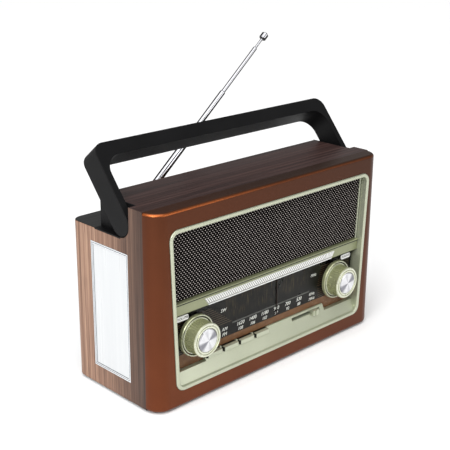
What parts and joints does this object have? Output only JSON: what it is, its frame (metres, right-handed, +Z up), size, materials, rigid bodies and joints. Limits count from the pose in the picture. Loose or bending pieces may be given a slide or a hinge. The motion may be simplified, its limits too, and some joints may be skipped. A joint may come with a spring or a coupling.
{
  "type": "portable radio",
  "caption": "Wood-look portable radio with a folding handle, two knobs, push buttons, a band slide switch, a side lamp and a swivelling telescopic antenna.",
  "frame": {"origin": "middle of the overall box at ground level, under the feet", "axes": "+Z up; the dial and grille face -Y; +X is to the right seen from the front"},
  "size_m": [0.24, 0.1114, 0.2397],
  "materials": {
    "wood_film": "wood-grain film, satin",
    "copper_paint": "metallic copper-brown paint, satin",
    "champagne_paint": "metallic champagne paint, satin",
    "knob_paint": "metallic olive-champagne paint, satin",
    "grille_mesh": "woven mesh",
    "silver_trim": "spun and ribbed bright aluminium",
    "dial_print": "printed, glossy",
    "clear_window": "clear, glossy",
    "pointer_red": "painted",
    "black_plastic": "fine texture, matte",
    "rubber": "matte",
    "lamp_diffuser": "milky, smooth",
    "lamp_clear": "bright rim",
    "led": "phosphor",
    "circuit_board": "solder mask",
    "steel": "bright",
    "ferrite": "matte",
    "coil_copper": "wound wire",
    "cone_paper": "pressed paper",
    "cell_wrap": "shrink wrap",
    "antenna_chrome": "polished"
  },
  "bodies": {
    "case": {"antenna_bracket": "black_plastic", "antenna_clip": "black_plastic", "back_panel": "black_plastic", "band_switch_body": "black_plastic", "battery_cells": "cell_wrap", "battery_contacts": "steel", "battery_tray": "black_plastic", "bezel": "champagne_paint", "button_board": "circuit_board", "cabinet_shell": "wood_film", "case_screws": "steel", "dial_plate": "dial_print", "dial_window": "clear_window", "earphone_jack": "black_plastic", "ferrite_coil": "coil_copper", "ferrite_rod": "ferrite", "front_frame": "copper_paint", "handle_bracket_left": "black_plastic", "handle_bracket_right": "black_plastic", "handle_pivot_pins": "steel", "lamp_diffuser": "lamp_diffuser", "lamp_frame": "lamp_clear", "lamp_led_board": "circuit_board", "lamp_leds": "led", "main_board": "circuit_board", "mid_rail": "champagne_paint", "pointer_guide_rod": "steel", "ribbed_strip": "silver_trim", "rubber_feet": "rubber", "speaker_cone": "cone_paper", "speaker_frame": "steel", "speaker_grille": "grille_mesh", "speaker_magnet": "ferrite", "tact_switches": "black_plastic", "tuning_capacitor": "black_plastic", "tuning_label_plate": "silver_trim", "tuning_ring": "knob_paint", "volume_label_plate": "silver_trim", "volume_pot": "black_plastic", "volume_ring": "knob_paint"},
    "handle_body": {"handle": "black_plastic"},
    "volume_control": {"volume_knob": "knob_paint", "volume_knob_cap": "silver_trim", "volume_shaft": "steel"},
    "tuning_control": {"tuning_knob": "knob_paint", "tuning_knob_cap": "silver_trim", "tuning_shaft": "steel"},
    "pointer": {"dial_pointer": "pointer_red"},
    "power_button_body": {"power_button": "champagne_paint"},
    "mode_button_body": {"mode_button": "champagne_paint"},
    "previous_button_body": {"previous_button": "champagne_paint"},
    "next_button_body": {"next_button": "champagne_paint"},
    "band_slider_body": {"band_slider": "champagne_paint"},
    "antenna_swivel_body": {"antenna_knuckle": "antenna_chrome"},
    "antenna_base_section": {"antenna_tube": "antenna_chrome"},
    "antenna_second_section": {"antenna_section_2": "antenna_chrome"},
    "antenna_third_section": {"antenna_section_3": "antenna_chrome"},
    "antenna_top_section": {"antenna_rod": "antenna_chrome", "antenna_tip": "antenna_chrome"},
    "battery_door_body": {"battery_door": "black_plastic"}
  },
  "joints": [
    {"name": "handle_fold", "type": "hinge", "parent": "case", "child": "handle_body", "pos_m": [0, -0.012, 0.1355], "axis": [1, 0, 0], "range_deg": [-50.7, 39.3]},
    {"name": "volume_turn", "type": "hinge", "parent": "case", "child": "volume_control", "pos_m": [-0.0776, -0.0483, 0.0491], "axis": [0, 1, 0], "range_deg": [-150, 150]},
    {"name": "tuning_turn", "type": "hinge", "parent": "case", "child": "tuning_control", "pos_m": [0.0776, -0.0483, 0.0491], "axis": [0, 1, 0], "range_deg": [-150, 150]},
    {"name": "pointer_travel", "type": "slide", "parent": "case", "child": "pointer", "axis": [1, 0, 0], "range_m": [-0.045, 0.045]},
    {"name": "power_button_press", "type": "slide", "parent": "case", "child": "power_button_body", "axis": [0, 1, 0], "range_m": [0, 0.001], "stiffness_N_per_m": 600, "springref_m": -0.0008},
    {"name": "mode_button_press", "type": "slide", "parent": "case", "child": "mode_button_body", "axis": [0, 1, 0], "range_m": [0, 0.001], "stiffness_N_per_m": 600, "springref_m": -0.0008},
    {"name": "previous_button_press", "type": "slide", "parent": "case", "child": "previous_button_body", "axis": [0, 1, 0], "range_m": [0, 0.001], "stiffness_N_per_m": 600, "springref_m": -0.0008},
    {"name": "next_button_press", "type": "slide", "parent": "case", "child": "next_button_body", "axis": [0, 1, 0], "range_m": [0, 0.001], "stiffness_N_per_m": 600, "springref_m": -0.0008},
    {"name": "band_select", "type": "slide", "parent": "case", "child": "band_slider_body", "axis": [1, 0, 0], "range_m": [-0.0215, 0.0045]},
    {"name": "antenna_swivel", "type": "hinge", "parent": "case", "child": "antenna_swivel_body", "pos_m": [-0.0595, 0.0507, 0.1127], "axis": [0, -1, 0], "range_deg": [-40.6, 139.4]},
    {"name": "antenna_tilt", "type": "hinge", "parent": "antenna_swivel_body", "child": "antenna_base_section", "pos_m": [-0.0595, 0.0507, 0.1127], "axis": [-0.6508, 0, 0.7593], "range_deg": [0, 90]},
    {"name": "antenna_second_slide", "type": "slide", "parent": "antenna_base_section", "child": "antenna_second_section", "axis": [0.7593, 0, 0.6508], "range_m": [-0.041, 0.018]},
    {"name": "antenna_third_slide", "type": "slide", "parent": "antenna_second_section", "child": "antenna_third_section", "axis": [0.7593, 0, 0.6508], "range_m": [-0.048, 0.01]},
    {"name": "antenna_top_slide", "type": "slide", "parent": "antenna_third_section", "child": "antenna_top_section", "axis": [0.7593, 0, 0.6508], "range_m": [-0.01, 0.018]},
    {"name": "battery_door_swing", "type": "hinge", "parent": "case", "child": "battery_door_body", "pos_m": [0, 0.0447, 0.0229], "axis": [-1, 0, 0], "range_deg": [0, 80]}
  ],
  "couplings": [
    {"joint": "pointer_travel", "follows": "tuning_turn", "m_per_rad": 0.017189}
  ]
}
